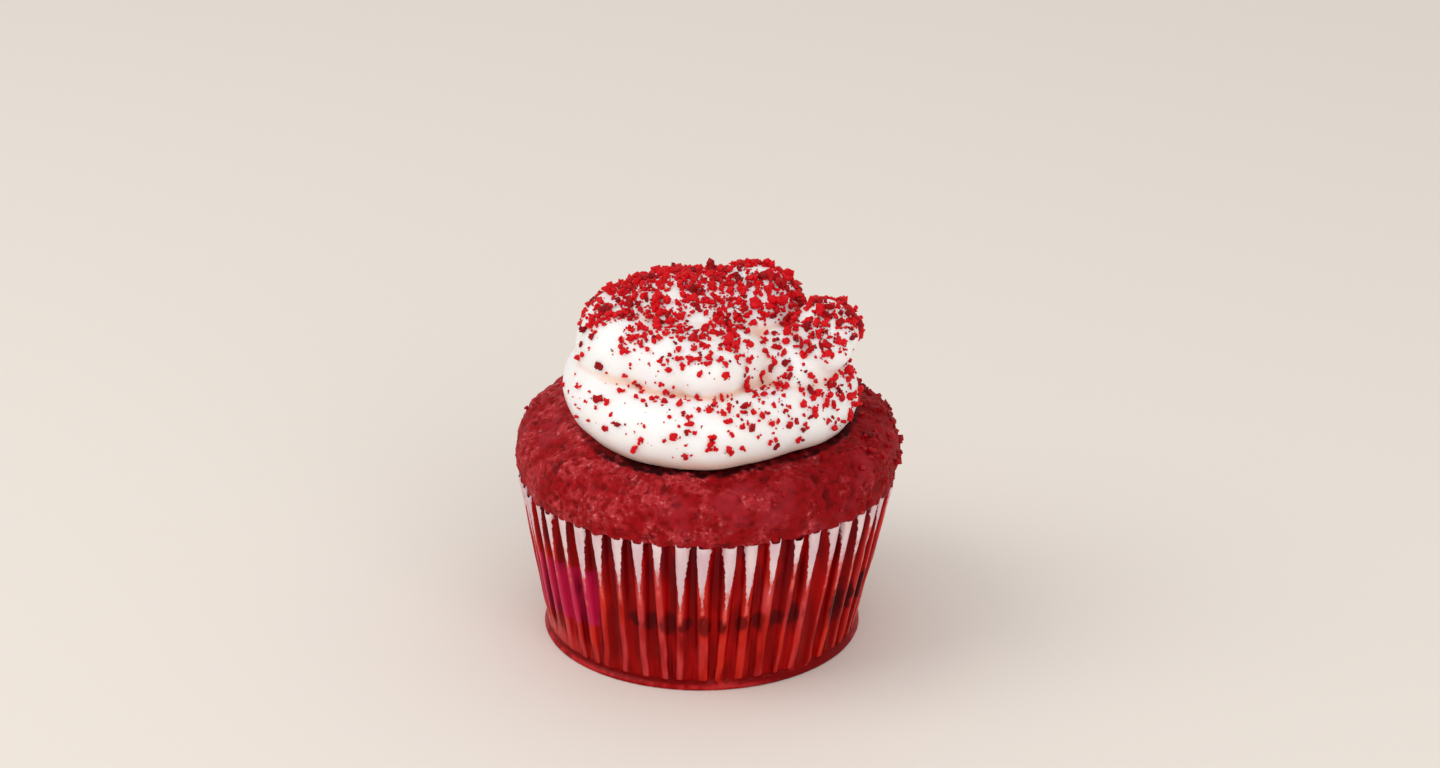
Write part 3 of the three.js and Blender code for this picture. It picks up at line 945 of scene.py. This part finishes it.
# %% Finish of the paper
def case_finish():
    material, tree, shader = new_finish("greaseproof paper")
    place = add_node(tree, "ShaderNodeTexCoord").outputs["Object"]
    around, height, share, draw, draws = pleat_place(tree)
    mottle = noise_at(tree, place, 2.2, detail=3)
    upright = add_node(tree, "ShaderNodeMapping", {"Vector": place, "Scale": (1, 1, 0.2)}).outputs[0]
    streak = noise_at(tree, upright, 3, detail=2)
    off_middle = sums(tree, "ABSOLUTE", share)

    warm = noise_at(tree, place, 14, detail=1)
    valley = blended(tree, fade(tree, height, 0.5, 0.95), srgb(126, 0, 0), srgb(100, 1, 10))
    valley = blended(tree, fade(tree, streak, 0.42, 0.66), valley, srgb(158, 3, 3))
    # The crests are a lighter red with a painted highlight on them.
    crest = blended(tree, fade(tree, warm, 0.42, 0.58), srgb(196, 60, 62), srgb(200, 40, 26))
    dull = sums(tree, "MULTIPLY", fade(tree, streak, 0.62, 0.4), 0.7)
    crest = blended(tree, dull, crest, srgb(158, 8, 10))
    wide = sums(tree, "MULTIPLY_ADD", add_node(tree, "ShaderNodeSeparateColor", {0: draws}).outputs[1], 0.2, 0.02)
    outside = sums(tree, "SUBTRACT", off_middle, wide)
    crest_share = sums(tree, "MULTIPLY", fade(tree, outside, 0.12, 0.0), fade(tree, streak, 0.2, 0.42))
    colour = blended(tree, crest_share, valley, crest)
    colour = printed(tree, colour, around, height, mottle, streak, crest_share)

    tip_height = sums(tree, "MULTIPLY_ADD", draw, 0.22, 0.5)
    spread = sums(tree, "DIVIDE", sums(tree, "SUBTRACT", height, tip_height), 0.42)
    half_width = sums(tree, "MULTIPLY", spread, 0.3)
    torn = noise_at(tree, place, 0.9, detail=2)
    ragged = sums(tree, "MULTIPLY_ADD", torn, 0.14, half_width)
    inside = sums(tree, "SUBTRACT", ragged, sums(tree, "ADD", off_middle, 0.065))
    dry_and_sheen = fade(tree, inside, -0.012, 0.022)
    # Painted highlight: an orange spot on the crest just below each wedge's tip.
    tip_highlight = sums(tree, "MULTIPLY", between(tree, spread, -0.14, 0.1, 0.08), fade(tree, off_middle, 0.13, 0.04))
    colour = blended(tree, sums(tree, "MULTIPLY", tip_highlight, fade(tree, mottle, 0.4, 0.55)), colour, srgb(218, 84, 74))
    white = blended(tree, fade(tree, streak, 0.3, 0.65), srgb(232, 208, 208), srgb(214, 182, 190))
    damp = blended(tree, fade(tree, mottle, 0.35, 0.6), srgb(214, 96, 92), srgb(196, 122, 126))
    worn = between(tree, around, 45.5, 54, 1.5)
    soak_and_shade = sums(tree, "ADD", spread, sums(tree, "MULTIPLY_ADD", mottle, 0.8, -0.4))
    soak_and_shade = sums(tree, "MULTIPLY_ADD", worn, -0.22, soak_and_shade)
    colour = blended(tree, dry_and_sheen, colour, blended(tree, fade(tree, soak_and_shade, 0.08, 0.42), damp, white))

    fold = add_node(tree, "ShaderNodeAttribute", attribute_name="fold").outputs["Fac"]
    flat = add_node(tree, "ShaderNodeAttribute", attribute_name="flat").outputs["Fac"]
    smoothed = sums(tree, "MULTIPLY", fade(tree, height, 0.2, 0.11), flat)
    colour = blended(tree, smoothed, colour, srgb(184, 42, 40))
    edge = blended(tree, fade(tree, mottle, 0.4, 0.6), srgb(146, 8, 12), srgb(180, 34, 36))
    edge = blended(tree, between(tree, around, 42.5, 50, 1.5), edge, srgb(118, 3, 8))
    colour = blended(tree, fade(tree, height, 0.042, 0.03), colour, edge)
    # Painted shade: the fold above the lip is darker where it is deeper.
    fold_shade = sums(tree, "MULTIPLY", between(tree, height, 0.028, 0.06, 0.006), fade(tree, fold, 0.25, 0.6))
    colour = blended(tree, fold_shade, colour, srgb(118, 0, 2))
    tree.links.new(colour, shader.inputs["Base Color"])

    roughness = add_node(tree, "ShaderNodeMapRange", {"Value": dry_and_sheen, "To Min": 0.26, "To Max": 0.62})
    tree.links.new(roughness.outputs["Result"], shader.inputs["Roughness"])
    crinkle = noise_at(tree, upright, 1.1, detail=3)
    bump = add_node(tree, "ShaderNodeBump", {"Height": crinkle, "Strength": 0.3, "Distance": 0.12 * MM})
    tree.links.new(bump.outputs["Normal"], shader.inputs["Normal"])
    shader.inputs["Specular IOR Level"].default_value = 0.07
    return material


wear(case, case_finish())

# %% [markdown]
# The set is a plain pale floor under soft light: a broad key from the upper left, which throws
# the soft shadow to the right, a wide fill from the front, and an even pale sky.

# %% Floor and lights
def make_floor():
    bm = bmesh.new()
    bmesh.ops.create_grid(bm, x_segments=4, y_segments=4, size=3)
    mesh = bpy.data.meshes.new("floor")
    bm.to_mesh(mesh)
    bm.free()
    floor = bpy.data.objects.new("floor", mesh)
    bpy.context.scene.collection.objects.link(floor)
    material, _, shader = new_finish("pale floor")
    shader.inputs["Base Color"].default_value = srgb(237, 229, 221)
    shader.inputs["Roughness"].default_value = 0.75
    wear(floor, material)


def add_light(name, place, size, power, colour):
    data = bpy.data.lights.new(name, "AREA")
    data.size = size
    data.energy = power
    data.color = colour
    light = bpy.data.objects.new(name, data)
    bpy.context.scene.collection.objects.link(light)
    aim = Vector((0, 0, 0.035)) - Vector(place)
    light.matrix_world = Matrix.Translation(place) @ aim.to_track_quat("-Z", "Y").to_matrix().to_4x4()


make_floor()
add_light("key", (-0.7, -0.16, 0.79), 0.72, 3.25, (1, 0.985, 0.965))
add_light("fill", (0.4, -1.0, 0.6), 0.9, 4.5, (1, 0.985, 0.97))
world = bpy.data.worlds.new("studio")
world.use_nodes = True
world.node_tree.nodes["Background"].inputs["Color"].default_value = (1, 0.985, 0.965, 1)
world.node_tree.nodes["Background"].inputs["Strength"].default_value = 0.68
bpy.context.scene.world = world
bpy.context.scene.view_settings.view_transform = "Standard"
